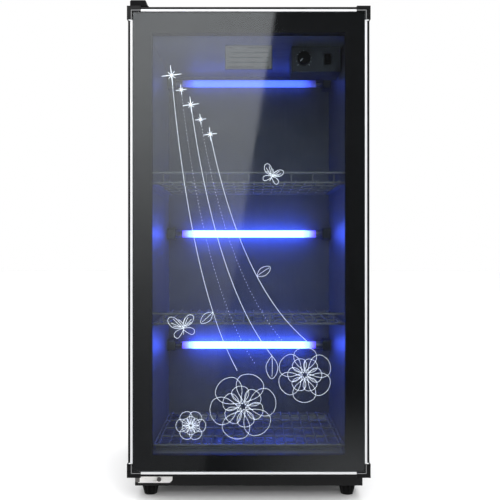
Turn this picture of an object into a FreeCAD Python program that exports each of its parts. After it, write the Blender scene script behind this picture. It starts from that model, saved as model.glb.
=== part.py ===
"""Hot towel cabinet: a glass-door ultraviolet towel warmer for a salon.

Millimetres, +Z up. The door faces -Y and is hung on the -X side. The origin is at
floor level, midway across the width and the depth of the whole cabinet.
"""
import FreeCAD, Part
import os
import re

import Sketcher
from FreeCAD import Placement, Rotation, Vector

FOLDER = "parts"

# Every size that can be set by itself. Millimetres, degrees or a count.
DIMENSIONS = {
    # Cabinet shell
    "body_depth": 374,
    "base_height": 32,
    "skin": 1.0,
    "mouth_plate": 2.0,
    "side_overhang": 5,  # how far the door stands past the shell on each side
    "top_overhang": 4,  # how far the door stands past the shell's top
    "rear_flange": 15,
    # Insulation and liner
    "liner_wall": 1.2,
    "side_insulation": 25.8,
    "top_insulation": 31.8,
    "floor_insulation": 14.8,
    "back_insulation": 25,
    "rear_cavity": 36.8,
    # Door
    "door_width": 440,
    "door_height": 856,
    "door_depth": 38,
    "seal_gap": 8,
    "stile_width": 30,
    "top_rail_height": 32,
    "bottom_rail_height": 24,
    "frame_wall": 3,
    "frame_lip": 4,
    "trim_width": 4.2,
    "trim_depth": 3,
    # Glazing
    "glass_thickness": 4,
    "frit_thickness": 0.3,
    "print_gap": 0.03,  # the film of glue and varnish behind the outer pane
    "side_border": 35.3,
    "top_border": 37.8,
    "bottom_border": 29.8,
    "glazing_gap": 12,
    "inner_glass_thickness": 3.2,
    "glazing_clearance": 1,
    "spacer_setback": 0.5,  # how far the spacer hides behind the printed border
    "label_width": 86,
    "label_height": 44,
    "label_thickness": 0.2,
    "label_drop": 23,  # from the top of the clear window
    # Door seal
    "gasket_width": 14,
    "gasket_side_inset": 13,
    "gasket_top_inset": 10,
    "gasket_bottom_inset": 6,
    "seal_clearance": 0.4,
    "magnet_width": 8,
    "magnet_thickness": 2.6,
    "magnet_clearance": 0.2,
    # Corner caps
    "cap_leg": 25,
    "cap_wall": 2,
    "cap_front": 1,
    "inlay_width": 1.2,
    "inlay_depth": 0.6,
    # Hinges
    "hinge_inset": 14,
    "hinge_setback": 21,
    "pin_radius": 4,
    "pin_running_clearance": 0.05,
    "pin_reach": 20,
    "pin_head_radius": 6.5,
    "pin_head_height": 1.5,
    "pin_tail": 10,
    "bush_fit": 0.1,
    "bracket_thickness": 3,
    "bracket_gap": 1,  # between a bracket and the cap that turns beside it
    "bracket_nose": 9,
    "bracket_outer": 8,
    "bracket_inner": 14,
    "bracket_foot": 42,
    "plate_inner": 62,  # from the hinge axis to the far end of the lower plate
    "plate_outer": 5,
    "plate_height": 23,
    "plate_slant": 5,
    "plate_corner": 3,
    "plate_screw_reach": 37,
    "plate_screw_rise": 7,  # from the plate's lower edge
    "cover_wall": 2,
    "cover_outer": 11.5,
    "cover_inner": 18,
    "cover_flare": 6,
    "cover_flare_height": 3.6,
    "cover_height": 12.4,
    "cover_chamfer": 2,
    "cover_nose": 15,
    "cover_rear": 60,
    "cover_gap": 0.6,
    # Screws
    "screw_radius": 2,
    "screw_clearance": 0.2,
    "screw_head_radius": 4,
    "screw_head_height": 2,
    "screw_length": 8,
    "screw_recess_radius": 1.6,
    "screw_recess_depth": 1.2,
    "rear_screw_rows": 4,
    "rear_screw_inset": 8,
    # Feet
    "foot_height": 23,
    "foot_inset": 26,
    "foot_setback": 28,
    "foot_top_radius": 17,
    "foot_bottom_radius": 12,
    "foot_rim": 2.5,
    "foot_stud_radius": 4,
    "foot_stud_length": 15,
    "foot_stud_clearance": 0.3,
    "foot_flute_ring": 14.6,
    "foot_flute_radius": 2.8,
    "foot_flutes": 12,
    "foot_block": 34,
    # Shelves
    "upper_shelf_drop": 277,  # from the ceiling to the upper ledges
    "middle_shelf_rise": 243,  # from the floor to the middle ledges
    "shelf_setback": 30,
    "shelf_back_gap": 25,
    "shelf_side_gap": 2,
    "rim_radius": 2,
    "wire_radius": 1.5,
    "wire_pitch": 20.5,
    "weld_depth": 0.4,
    "cross_rods": 5,
    "fence_height": 21,
    "fence_bar_radius": 1.25,
    "fence_pitch": 41,
    "fence_gap": 0.05,
    "ledge_width": 12,
    "ledge_drop": 12,
    "ledge_thickness": 1.5,
    # Drip tray and heater
    "tray_height": 8,
    "tray_wall": 1,
    "tray_side_gap": 8,
    "heater_space": 10,
    "heater_radius": 3.5,
    "heater_runs": 6,
    "heater_pitch": 40,
    "heater_margin": 40,
    "heater_gap": 0.05,
    "clip_width": 12,
    "clip_spread": 90,
    # Lamps
    "lamp_radius": 8,
    "lamp_cap_radius": 8.6,
    "lamp_cap_length": 16,
    "lamp_standoff": 24,
    "lamp_ceiling_drop": 22,
    "lamp_shelf_drop": 91,
    "lamp_lower_drop": 75,
    "holder_width": 18,
    "holder_height": 26,
    "holder_nose": 12,
    # Controls and electrics
    "control_width": 98,
    "control_height": 50,
    "control_depth": 70,
    "control_setback": 70,
    "control_side_gap": 4,
    "control_wall": 2,
    "knob_offset": 24,
    "knob_radius": 13,
    "knob_height": 14,
    "knob_gap": 0.5,
    "knob_chamfer": 1.5,
    "knob_shaft_radius": 3,
    "knob_shaft_length": 8,
    "knob_flutes": 14,
    "knob_flute_radius": 1.2,
    "knob_pointer_width": 1.6,
    "knob_pointer_depth": 0.8,
    "rocker_offset": 72,
    "rocker_width": 12,
    "rocker_half": 9.3,
    "rocker_nose": 6,
    "rocker_valley": 4.6,
    "rocker_back": 3,
    "rocker_depth": 2.5,  # pivot behind the control panel's face
    "rocker_tilt": 8,
    "rocker_margin": 1.7,
    "ballast_width": 100,
    "ballast_height": 40,
    "ballast_depth": 28,
    "ballast_foot": 12,
    "terminal_width": 60,
    "terminal_height": 22,
    "terminal_depth": 18,
    "terminal_ways": 5,
    "terminal_hole": 2.2,
    "terminal_rise": 60,
    "inlet_flange": 3,
    "inlet_flange_width": 50,
    "inlet_flange_height": 28,
    "inlet_width": 30,
    "inlet_height": 23,
    "inlet_depth": 22,
    "inlet_wall": 3,
    "inlet_rise": 40,
    "inlet_side": 60,
    "inlet_pin": 2,
    "inlet_pin_pitch": 7,
    "inlet_pin_length": 14,
    "inlet_clearance": 0.3,
    "vent_rows": 10,
    "vent_width": 90,
    "vent_slot": 4,
    "vent_pitch": 12,
    "vent_drop": 60,
}

# Places and sizes worked out from those above. One name each, used by every piece that meets there.
PLACES = {
    "half_depth": "(cap_front + door_depth + seal_gap + body_depth + inlet_flange) / 2",
    "door_front": "cap_front - half_depth",
    "door_back": "door_front + door_depth",
    "body_front": "door_back + seal_gap",
    "body_back": "body_front + body_depth",
    "inner_front": "body_front + mouth_plate",
    "back_wall": "body_back - skin - rear_cavity - back_insulation - liner_wall",
    "cavity_front": "back_wall + liner_wall + back_insulation",
    "half_door": "door_width / 2",
    "half_body": "half_door - side_overhang",
    "half_interior": "half_body - skin - side_insulation - liner_wall",
    "half_liner": "half_interior + liner_wall",
    "base_top": "foot_height + base_height",
    "door_bottom": "base_top",
    "door_top": "base_top + door_height",
    "body_top": "door_top - top_overhang",
    "roof": "body_top - skin",
    "ceiling": "roof - top_insulation - liner_wall",
    "floor_level": "base_top + floor_insulation + heater_space + liner_wall",
    # Glazing
    "groove_back": "door_front + trim_depth",
    "glass_back": "door_front + glass_thickness",
    "frit_back": "glass_back + frit_thickness",
    "inner_glass_front": "frit_back + glazing_gap",
    "inner_glass_back": "inner_glass_front + inner_glass_thickness",
    "half_glass": "half_door - frame_lip - trim_width",
    "glass_bottom": "door_bottom + frame_lip + trim_width",
    "glass_top": "door_top - frame_lip - trim_width",
    "half_window": "half_glass - side_border",
    "window_bottom": "glass_bottom + bottom_border",
    "window_top": "glass_top - top_border",
    "half_pane": "half_door - stile_width - glazing_clearance",
    "pane_bottom": "door_bottom + bottom_rail_height + glazing_clearance",
    "pane_top": "door_top - top_rail_height - glazing_clearance",
    # Hinge axis and the levels beside it
    "hinge_x": "hinge_inset - half_door",
    "hinge_y": "door_front + hinge_setback",
    "arm_bottom": "door_top + cap_wall + bracket_gap",
    "arm_top": "arm_bottom + bracket_thickness",
    "bush_length": "bottom_rail_height - 2 * frame_wall - 2 * bush_fit",
    "tongue_top": "door_bottom - cap_wall - bracket_gap",
    "tongue_bottom": "tongue_top - bracket_thickness",
    "riser_front": "body_front + bracket_gap",
    "riser_back": "riser_front + bracket_thickness",
    "cover_bottom": "door_top + cap_wall + cover_gap",
    # Interior furniture
    "upper_shelf": "ceiling - upper_shelf_drop",
    "middle_shelf": "floor_level + middle_shelf_rise",
    "rack_level": "floor_level + tray_height",
    "shelf_front": "body_front + shelf_setback",
    "shelf_back": "back_wall - shelf_back_gap",
    "half_shelf": "half_interior - shelf_side_gap",
    "upper_lamp": "ceiling - lamp_ceiling_drop",
    "middle_lamp": "upper_shelf - lamp_shelf_drop",
    "lower_lamp": "middle_shelf - lamp_lower_drop",
    "lamp_y": "back_wall - lamp_standoff",
    "half_tube": "half_interior - holder_width - lamp_cap_length",
    # Controls
    "control_right": "half_interior - control_side_gap",
    "control_left": "control_right - control_width",
    "control_front": "body_front + control_setback",
    "control_middle": "ceiling - control_height / 2",
    "knob_x": "control_left + knob_offset",
    "rocker_x": "control_left + rocker_offset",
    "rocker_y": "control_front + rocker_depth",
    "inlet_x": "inlet_side - half_body",
    "inlet_z": "base_top + inlet_rise",
}

LEFT, RIGHT = -1, 1
LINE_TOLERANCE = 0.01

doc = FreeCAD.newDocument("hot_towel_cabinet")
sheet = doc.addObject("Spreadsheet::Sheet", "Dims")
for row, (alias, size) in enumerate(DIMENSIONS.items(), start=1):
    sheet.set(f"A{row}", alias)
    sheet.set(f"B{row}", str(size))
    sheet.setAlias(f"B{row}", alias)
doc.recompute()

pieces = []


# ---------------------------------------------------------------- expressions

def bound(text):
    """The text as an expression on the sheet, with each worked-out place written in full."""

    def replace(match):
        word = match.group()
        if word in DIMENSIONS:
            return f"Dims.{word}"
        if word in PLACES:
            return f"({bound(PLACES[word])})"
        return word

    return re.sub(r"[a-z_]+", replace, str(text))


def value(text):
    """What the expression comes to now, as a number."""
    return float(sheet.evalExpression(bound(text)))


def count(text):
    """What the expression comes to, as a whole number of repeats."""
    return int(round(value(text)))


def mirrored(span, side):
    """A span across the cabinet, given for the left side, on the side asked for."""
    low, high = span
    return (low, high) if side == LEFT else (f"-({high})", f"-({low})")


# ---------------------------------------------------------------- solids

def box(name, x, y, z):
    """A block from its three spans."""
    solid = doc.addObject("Part::Box", name)
    for size, axis, (low, high) in zip(("Length", "Width", "Height"), "xyz", (x, y, z)):
        solid.setExpression(size, bound(f"({high}) - ({low})"))
        solid.setExpression(f"Placement.Base.{axis}", bound(low))
    return solid


def rod(name, axis, span, centre, radius):
    """A round bar along one axis: its span there, and its centre on the other two in order."""
    solid = doc.addObject("Part::Cylinder", name)
    turn = {"x": Rotation(Vector(0, 1, 0), 90), "y": Rotation(Vector(1, 0, 0), -90), "z": Rotation()}
    solid.Placement = Placement(Vector(), turn[axis])
    low, high = span
    solid.setExpression("Radius", bound(radius))
    solid.setExpression("Height", bound(f"({high}) - ({low})"))
    solid.setExpression(f"Placement.Base.{axis}", bound(low))
    others = [letter for letter in "xyz" if letter != axis]
    for letter, place in zip(others, centre):
        solid.setExpression(f"Placement.Base.{letter}", bound(place))
    return solid


def fuse(name, solids):
    """One piece from overlapping or touching solids."""
    if len(solids) == 1:
        return solids[0]
    joined = doc.addObject("Part::MultiFuse", name)
    joined.Shapes = solids
    joined.Refine = True
    return joined


def cut(name, base, tools):
    """The base with the tools taken away."""
    result = doc.addObject("Part::Cut", name)
    result.Base = base
    result.Tool = fuse(f"{name}_tools", tools)
    result.Refine = True
    return result


def group(name, solids):
    """Several like pieces in one node, each still its own solid."""
    together = doc.addObject("Part::Compound", name)
    together.Links = solids
    return together


def ring(name, x, y, z, hole_x, hole_z):
    """A flat frame: a block with a rectangular hole along Y."""
    outer = box(f"{name}_outer", x, y, z)
    hole = box(f"{name}_hole", hole_x, y, hole_z)
    return cut(name, outer, [hole])


def keep(solid, label):
    """Names a finished piece, so that it is written out."""
    solid.Label = label
    pieces.append(solid)
    return solid


# ---------------------------------------------------------------- sketched bodies

def new_body(name):
    body = doc.addObject("PartDesign::Body", f"{name}_body")
    doc.recompute()
    return body


def new_sketch(body, role, offset="0"):
    """A sketch on one of the body's own planes, moved along the plane's normal."""
    plane = next(item for item in body.Origin.OriginFeatures if item.Role == role)
    sketch = body.newObject("Sketcher::SketchObject", f"{body.Name}_sketch")
    sketch.AttachmentSupport = [(plane, "")]
    sketch.MapMode = "FlatFace"
    sketch.setExpression("AttachmentOffset.Base.z", bound(offset))
    return sketch


def hold_point(sketch, line, end, across, up):
    """Holds a point of the sketch at its two distances from the origin."""
    for kind, text in (("DistanceX", across), ("DistanceY", up)):
        index = sketch.addConstraint(Sketcher.Constraint(kind, line, end, value(text)))
        sketch.renameConstraint(index, f"{kind}_{line}")
        sketch.setExpression(f"Constraints.{kind}_{line}", bound(text))


def draw_outline(sketch, points):
    """A closed outline of straight lines through the points."""
    corners = [Vector(value(across), value(up), 0) for across, up in points]
    first = sketch.GeometryCount
    for start, end in zip(corners, corners[1:] + corners[:1]):
        sketch.addGeometry(Part.LineSegment(start, end))
    for place, (across, up) in enumerate(points):
        line = first + place
        before = first + (place - 1) % len(points)
        sketch.addConstraint(Sketcher.Constraint("Coincident", before, 2, line, 1))
        hold_point(sketch, line, 1, across, up)


def draw_circle(sketch, across, up, radius):
    centre = Vector(value(across), value(up), 0)
    line = sketch.addGeometry(Part.Circle(centre, Vector(0, 0, 1), value(radius)))
    hold_point(sketch, line, 3, across, up)
    index = sketch.addConstraint(Sketcher.Constraint("Radius", line, value(radius)))
    sketch.renameConstraint(index, f"Radius_{line}")
    sketch.setExpression(f"Constraints.Radius_{line}", bound(radius))


def rectangle(x, z):
    """The four corners of a span across by a span up."""
    return [(x[0], z[0]), (x[1], z[0]), (x[1], z[1]), (x[0], z[1])]


def add_pad(body, sketch, length):
    pad = body.newObject("PartDesign::Pad", f"{body.Name}_pad")
    pad.Profile = sketch
    pad.setExpression("Length", bound(length))
    doc.recompute()
    return pad


def add_pocket(body, sketch, depth=None):
    """Cuts the sketch through the whole body, or to a depth behind the sketch."""
    before = body.Shape.Volume
    pocket = body.newObject("PartDesign::Pocket", f"{body.Name}_pocket")
    pocket.Profile = sketch
    if depth is None:
        pocket.Type = "ThroughAll"
        pocket.Midplane = True
    else:
        pocket.setExpression("Length", bound(depth))
    doc.recompute()
    if not pocket.Shape.Volume < before:
        raise RuntimeError(f"{pocket.Label} cut nothing")
    return pocket


def add_pattern(body, feature, repeats):
    """Repeats a feature round the body's Z axis."""
    axis = next(item for item in body.Origin.OriginFeatures if item.Role == "Z_Axis")
    pattern = body.newObject("PartDesign::PolarPattern", f"{body.Name}_pattern")
    pattern.Originals = [feature]
    pattern.Axis = (axis, [""])
    pattern.Angle = 360
    pattern.setExpression("Occurrences", bound(repeats))
    body.Tip = pattern
    doc.recompute()
    return pattern


def edges_where(shape, wanted):
    return [f"Edge{number}" for number, edge in enumerate(shape.Edges, start=1) if wanted(edge)]


# ---------------------------------------------------------------- cabinet shell

def foot_places():
    """Label and the two places of each foot."""
    sides = (("left", "foot_inset - half_body"), ("right", "half_body - foot_inset"))
    ends = (("front", "body_front + foot_setback"), ("rear", "body_back - foot_setback"))
    return [(f"foot_{end}_{side}", x, y) for end, y in ends for side, x in sides]


def rear_screw_heights():
    rows = count("rear_screw_rows")
    low, high = "(base_top + 2 * rear_screw_inset)", "(roof - 2 * rear_screw_inset)"
    return [f"{low} + ({high} - {low}) * {row} / {rows - 1}" for row in range(rows)]


def rear_screw_holes(name):
    """Clearance holes for the screws that hold the rear panel to the side flanges."""
    reach = ("body_back - 2 * screw_length", "body_back + skin")
    return [
        rod(f"{name}_hole", "y", reach, (f"{side} * (half_body - rear_screw_inset)", height),
            "screw_radius + screw_clearance")
        for side in (LEFT, RIGHT)
        for height in rear_screw_heights()
    ]


def make_base_pan():
    outer = box("base_outer", ("-half_body", "half_body"), ("body_front", "body_back"),
                ("foot_height", "base_top"))
    inner = box("base_inner", ("skin - half_body", "half_body - skin"),
                ("body_front + skin", "body_back - skin"), ("foot_height", "base_top - skin"))
    shank = rod("base_screw_hole", "y", ("body_front - skin", "body_front + 2 * skin"),
                ("hinge_x + plate_screw_reach", "tongue_top - plate_height + plate_screw_rise"),
                "screw_radius + screw_clearance")
    keep(cut("base_pan", outer, [inner, shank]), "base_pan")


def make_side_panel(name, side):
    """A steel sheet with a flange folded in along its rear edge, where the rear panel is screwed."""
    height = ("base_top", "roof")
    sheet_metal = box(f"{name}_sheet", mirrored(("-half_body", "skin - half_body"), side),
                      ("inner_front", "body_back"), height)
    flange = box(f"{name}_flange", mirrored(("-half_body", "rear_flange - half_body"), side),
                 ("body_back - 2 * skin", "body_back - skin"), height)
    keep(cut(name, fuse(f"{name}_blank", [sheet_metal, flange]), rear_screw_holes(name)), name)


def top_screw_places():
    """Where the two screws go down through the upper hinge bracket's foot."""
    across = "hinge_x + (bracket_inner - bracket_outer) / 2"
    return [(across, f"riser_back + bracket_foot * {share}") for share in (0.3, 0.75)]


def top_screw_holes(name):
    return [
        rod(f"{name}_hole", "z", ("body_top - screw_length", "body_top + 2 * bracket_thickness"),
            place, "screw_radius + screw_clearance")
        for place in top_screw_places()
    ]


def make_top_panel():
    blank = box("top_blank", ("-half_body", "half_body"), ("inner_front", "body_back"),
                ("roof", "body_top"))
    keep(cut("top_panel", blank, top_screw_holes("top_panel")), "top_panel")


def make_rear_panel():
    blank = box("rear_blank", ("skin - half_body", "half_body - skin"),
                ("body_back - skin", "body_back"), ("base_top", "roof"))
    through = ("body_back - 2 * skin", "body_back + skin")
    vents = [
        box("vent",
            (f"-{side} * half_body / 2 - vent_width / 2", f"-{side} * half_body / 2 + vent_width / 2"),
            through,
            (f"roof - vent_drop - {row} * vent_pitch - vent_slot", f"roof - vent_drop - {row} * vent_pitch"))
        for side in (LEFT, RIGHT)
        for row in range(count("vent_rows"))
    ]
    half_width = "(inlet_width / 2 + inlet_clearance)"
    half_height = "(inlet_height / 2 + inlet_clearance)"
    inlet = box("inlet_hole", (f"inlet_x - {half_width}", f"inlet_x + {half_width}"), through,
                (f"inlet_z - {half_height}", f"inlet_z + {half_height}"))
    keep(cut("rear_panel", blank, vents + [inlet] + rear_screw_holes("rear_panel")), "rear_panel")


def make_screw(name, axis, head, sign, centre):
    """A cross-head screw: its head stands on the level given, and its shank goes the other way."""
    ends = {1: (head, f"({head}) + screw_head_height"), -1: (f"({head}) - screw_head_height", head)}
    shank = {1: (f"({head}) - screw_length", head), -1: (head, f"({head}) + screw_length")}
    sunk = {
        1: (f"({head}) + screw_head_height - screw_recess_depth", f"({head}) + screw_head_height"),
        -1: (f"({head}) - screw_head_height", f"({head}) - screw_head_height + screw_recess_depth"),
    }
    whole = fuse(f"{name}_blank", [
        rod(f"{name}_head", axis, ends[sign], centre, "screw_head_radius"),
        rod(f"{name}_shank", axis, shank[sign], centre, "screw_radius"),
    ])
    return cut(name, whole, [rod(f"{name}_recess", axis, sunk[sign], centre, "screw_recess_radius")])


def make_rear_screws():
    screws = [
        make_screw("rear_screw", "y", "body_back", 1, (f"{side} * (half_body - rear_screw_inset)", height))
        for side in (LEFT, RIGHT)
        for height in rear_screw_heights()
    ]
    keep(group("rear_screws", screws), "rear_panel_screws")


def make_front_frame():
    keep(ring("front_frame", ("-half_body", "half_body"), ("body_front", "inner_front"),
              ("base_top", "body_top"), ("-half_interior", "half_interior"), ("floor_level", "ceiling")),
         "front_frame")


# ---------------------------------------------------------------- liner and insulation

def make_liner():
    depth = ("inner_front", "back_wall")
    width = ("-half_liner", "half_liner")
    walls = [
        box("liner_side", mirrored(("-half_liner", "-half_interior"), side), depth,
            ("floor_level", "ceiling"))
        for side in (LEFT, RIGHT)
    ]
    keep(group("liner_sides", walls), "liner_side_walls")
    keep(box("liner_top", width, depth, ("ceiling", "ceiling + liner_wall")), "liner_ceiling")
    keep(box("liner_base", width, depth, ("floor_level - liner_wall", "floor_level")), "liner_floor")
    keep(box("liner_back", width, ("back_wall", "back_wall + liner_wall"),
             ("floor_level - liner_wall", "ceiling + liner_wall")), "liner_back_wall")


def make_insulation():
    depth = ("inner_front", "back_wall")
    width = ("-half_liner", "half_liner")
    sides = [
        box("insulation_side", mirrored(("skin - half_body", "-half_liner"), side), depth,
            ("base_top", "roof"))
        for side in (LEFT, RIGHT)
    ]
    sides[0] = cut("insulation_left", sides[0], top_screw_holes("insulation"))
    keep(group("insulation_pair", sides), "insulation_sides")
    top = box("insulation_top_blank", width, depth, ("ceiling + liner_wall", "roof"))
    keep(top, "insulation_top")
    bottom = box("insulation_bottom_blank", width, depth, ("base_top", "base_top + floor_insulation"))
    keep(bottom, "insulation_bottom")
    back = box("insulation_back_blank", width, ("back_wall + liner_wall", "cavity_front"),
               ("base_top", "roof"))
    keep(back, "insulation_back")


# ---------------------------------------------------------------- shelves, tray and heater

def make_shelf_rails():
    """Four L-section ledges on the liner's sides."""
    rails = []
    along = ("shelf_front - rim_radius", "shelf_back + rim_radius")
    for level in ("upper_shelf", "middle_shelf"):
        for side in (LEFT, RIGHT):
            ledge = box("rail_ledge", mirrored(("-half_interior", "ledge_width - half_interior"), side),
                        along, (f"{level} - ledge_thickness", level))
            flange = box("rail_flange",
                         mirrored(("-half_interior", "ledge_thickness - half_interior"), side),
                         along, (f"{level} - ledge_drop", level))
            rails.append(fuse("shelf_rail", [ledge, flange]))
    keep(group("rail_group", rails), "shelf_rails")


def centred(repeats, pitch):
    """Places of evenly pitched bars, centred on the cabinet."""
    return [f"{number - (repeats - 1) / 2} * {pitch}" for number in range(repeats)]


def bars_that_fit(pitch):
    return int(value("2 * half_shelf - 4 * rim_radius") // value(pitch)) + 1


def make_deck(label, level):
    """A welded wire deck: cross rods carried on the ledges, with finer wires laid over them."""
    rods = count("cross_rods")
    rod_z = f"{level} + rim_radius"
    wire_z = f"{level} + 2 * rim_radius + wire_radius - weld_depth"
    side_x = "(half_shelf - rim_radius)"
    across = (f"-{side_x} - weld_depth", f"{side_x} + weld_depth")
    along = ("shelf_front - weld_depth", "shelf_back + weld_depth")
    bars = [
        rod("cross_rod", "x", across,
            (f"shelf_front + (shelf_back - shelf_front) * {number} / {rods - 1}", rod_z), "rim_radius")
        for number in range(rods)
    ]
    bars += [
        rod("deck_wire", "y", along, (place, wire_z), "wire_radius")
        for place in centred(bars_that_fit("wire_pitch"), "wire_pitch")
    ]
    bars += [
        rod("deck_side", "y", along, (f"{side} * {side_x}", rod_z), "rim_radius")
        for side in (LEFT, RIGHT)
    ]
    keep(fuse("deck", bars), label)


def make_fence(label, level):
    """The low rail along a shelf's front that keeps rolled towels in."""
    fence_y = "shelf_front - rim_radius - fence_bar_radius - fence_gap"
    top_z = f"{level} + fence_height"
    bars = [rod("fence_rail", "x", ("-half_shelf", "half_shelf"), (fence_y, top_z), "rim_radius")]
    bars += [
        rod("fence_bar", "z", (level, top_z), (place, fence_y), "fence_bar_radius")
        for place in centred(bars_that_fit("fence_pitch"), "fence_pitch")
    ]
    keep(fuse("fence", bars), label)


def make_drip_tray():
    """A sheet with four rim strips welded along its edges; each strip is its own solid."""
    x = ("tray_side_gap - half_interior", "half_interior - tray_side_gap")
    y = ("shelf_front - tray_wall", "shelf_back + tray_wall")
    rim_z = ("floor_level + tray_wall", "rack_level")
    plates = [box("tray_sheet", x, y, ("floor_level", "floor_level + tray_wall"))]
    plates += [
        box("tray_side_rim", mirrored((x[0], f"{x[0]} + tray_wall"), side), y, rim_z)
        for side in (LEFT, RIGHT)
    ]
    plates += [
        box("tray_end_rim", (f"{x[0]} + tray_wall", f"{x[1]} - tray_wall"), span, rim_z)
        for span in ((y[0], "shelf_front"), ("shelf_back", y[1]))
    ]
    keep(group("tray_group", plates), "drip_tray")


def make_heater():
    """A bent tubular element held up against the underside of the liner's floor."""
    runs = count("heater_runs")
    level = "floor_level - liner_wall - heater_gap - heater_radius"
    first = "(inner_front + back_wall) / 2 - (heater_runs - 1) * heater_pitch / 2"
    reach = "half_interior - heater_margin - heater_pitch / 2"
    solids = [
        rod("heater_run", "x", (f"-({reach})", reach), (f"{first} + {run} * heater_pitch", level),
            "heater_radius")
        for run in range(runs)
    ]
    for run in range(runs - 1):
        side = RIGHT if run % 2 == 0 else LEFT
        bend = doc.addObject("Part::Torus", "heater_bend")
        bend.setExpression("Radius1", bound("heater_pitch / 2"))
        bend.setExpression("Radius2", bound("heater_radius"))
        bend.Angle3 = 180
        bend.Placement = Placement(Vector(), Rotation(Vector(0, 0, 1), -90 * side))
        bend.setExpression("Placement.Base.x", bound(f"{side} * ({reach})"))
        bend.setExpression("Placement.Base.y", bound(f"{first} + ({run} + 0.5) * heater_pitch"))
        bend.setExpression("Placement.Base.z", bound(level))
        solids.append(bend)
    keep(fuse("heater", solids), "heating_element")
    clips = [
        box("heater_clip",
            (f"{side} * clip_spread - clip_width / 2", f"{side} * clip_spread + clip_width / 2"),
            (f"{first} - heater_pitch / 2", f"{first} + (heater_runs - 0.5) * heater_pitch"),
            ("base_top + floor_insulation", f"{level} - heater_radius - heater_gap"))
        for side in (LEFT, RIGHT)
    ]
    keep(group("heater_clip_pair", clips), "heater_clips")


# ---------------------------------------------------------------- lamps

def make_lamps():
    """Three ultraviolet tubes across the back wall, each between two holders."""
    tubes, caps, holders = [], [], []
    for level in ("upper_lamp", "middle_lamp", "lower_lamp"):
        tubes.append(rod("lamp_tube", "x", ("-half_tube", "half_tube"), ("lamp_y", level), "lamp_radius"))
        for side in (LEFT, RIGHT):
            cap = mirrored(("-half_tube - lamp_cap_length", "-half_tube"), side)
            caps.append(rod("lamp_cap", "x", cap, ("lamp_y", level), "lamp_cap_radius"))
            across = mirrored(("-half_interior", "holder_width - half_interior"), side)
            block = box("lamp_holder", across, ("lamp_y - holder_nose", "back_wall"),
                        (f"{level} - holder_height / 2", f"{level} + holder_height / 2"))
            corners = doc.addObject("Part::Fillet", "lamp_holder_round")
            corners.Base = block
            doc.recompute()
            front = value("lamp_y - holder_nose")
            rounded = edges_where(block.Shape, lambda edge: edge.BoundBox.YMax < front + LINE_TOLERANCE
                                  and edge.BoundBox.XLength > LINE_TOLERANCE)
            radius = value("holder_nose") / 2
            corners.Edges = [(int(name[4:]), radius, radius) for name in rounded]
            holders.append(corners)
    keep(group("lamp_tube_group", tubes), "lamp_tubes")
    keep(group("lamp_cap_group", caps), "lamp_end_caps")
    keep(group("lamp_holder_group", holders), "lamp_holders")


# ---------------------------------------------------------------- electrics

def make_ballasts():
    """One ballast for each lamp, with fixing ears, in the cavity behind the back insulation."""
    ballasts = []
    for level in ("upper_lamp - ballast_height", "middle_lamp", "lower_lamp"):
        case = box("ballast_case", ("-ballast_width / 2", "ballast_width / 2"),
                   ("cavity_front", "cavity_front + ballast_depth"),
                   (f"{level} - ballast_height / 2", f"{level} + ballast_height / 2"))
        ears = box("ballast_ears", ("-ballast_width / 2 - ballast_foot", "ballast_width / 2 + ballast_foot"),
                   ("cavity_front", "cavity_front + 2 * skin"),
                   (f"{level} - ballast_foot / 2", f"{level} + ballast_foot / 2"))
        ballasts.append(fuse("ballast", [case, ears]))
    keep(group("ballast_group", ballasts), "lamp_ballasts")


def make_terminal_block():
    level = "base_top + terminal_rise"
    block = box("terminal_case", ("-terminal_width / 2", "terminal_width / 2"),
                ("cavity_front", "cavity_front + terminal_depth"),
                (f"{level} - terminal_height / 2", f"{level} + terminal_height / 2"))
    ways = count("terminal_ways")
    holes = [
        rod("terminal_hole_cut", "y", ("cavity_front + terminal_depth / 2", "cavity_front + terminal_depth"),
            (f"terminal_width * ({number + 0.5} / {ways} - 0.5)", level), "terminal_hole")
        for number in range(ways)
    ]
    keep(cut("terminal", block, holes), "terminal_block")


def make_power_inlet():
    """A three-pin mains inlet through the rear panel, open to the rear."""
    flange = box("inlet_flange_plate",
                 ("inlet_x - inlet_flange_width / 2", "inlet_x + inlet_flange_width / 2"),
                 ("body_back", "body_back + inlet_flange"),
                 ("inlet_z - inlet_flange_height / 2", "inlet_z + inlet_flange_height / 2"))
    shell = box("inlet_shell", ("inlet_x - inlet_width / 2", "inlet_x + inlet_width / 2"),
                ("body_back - inlet_depth", "body_back + inlet_flange"),
                ("inlet_z - inlet_height / 2", "inlet_z + inlet_height / 2"))
    socket = box("inlet_socket",
                 ("inlet_x - inlet_width / 2 + inlet_wall", "inlet_x + inlet_width / 2 - inlet_wall"),
                 ("body_back - inlet_depth + inlet_wall", "body_back + inlet_flange"),
                 ("inlet_z - inlet_height / 2 + inlet_wall", "inlet_z + inlet_height / 2 - inlet_wall"))
    hollow = cut("inlet_hollow", fuse("inlet_blank", [flange, shell]), [socket])
    root = "body_back - inlet_depth + inlet_wall / 2"
    pins = [
        box("inlet_pin_blade",
            (f"inlet_x + {place} * inlet_pin_pitch - inlet_pin / 2",
             f"inlet_x + {place} * inlet_pin_pitch + inlet_pin / 2"),
            (root, f"{root} + inlet_pin_length"),
            ("inlet_z - inlet_pin", "inlet_z + inlet_pin"))
        for place in (-1, 0, 1)
    ]
    keep(fuse("inlet", [hollow] + pins), "power_inlet")


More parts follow.
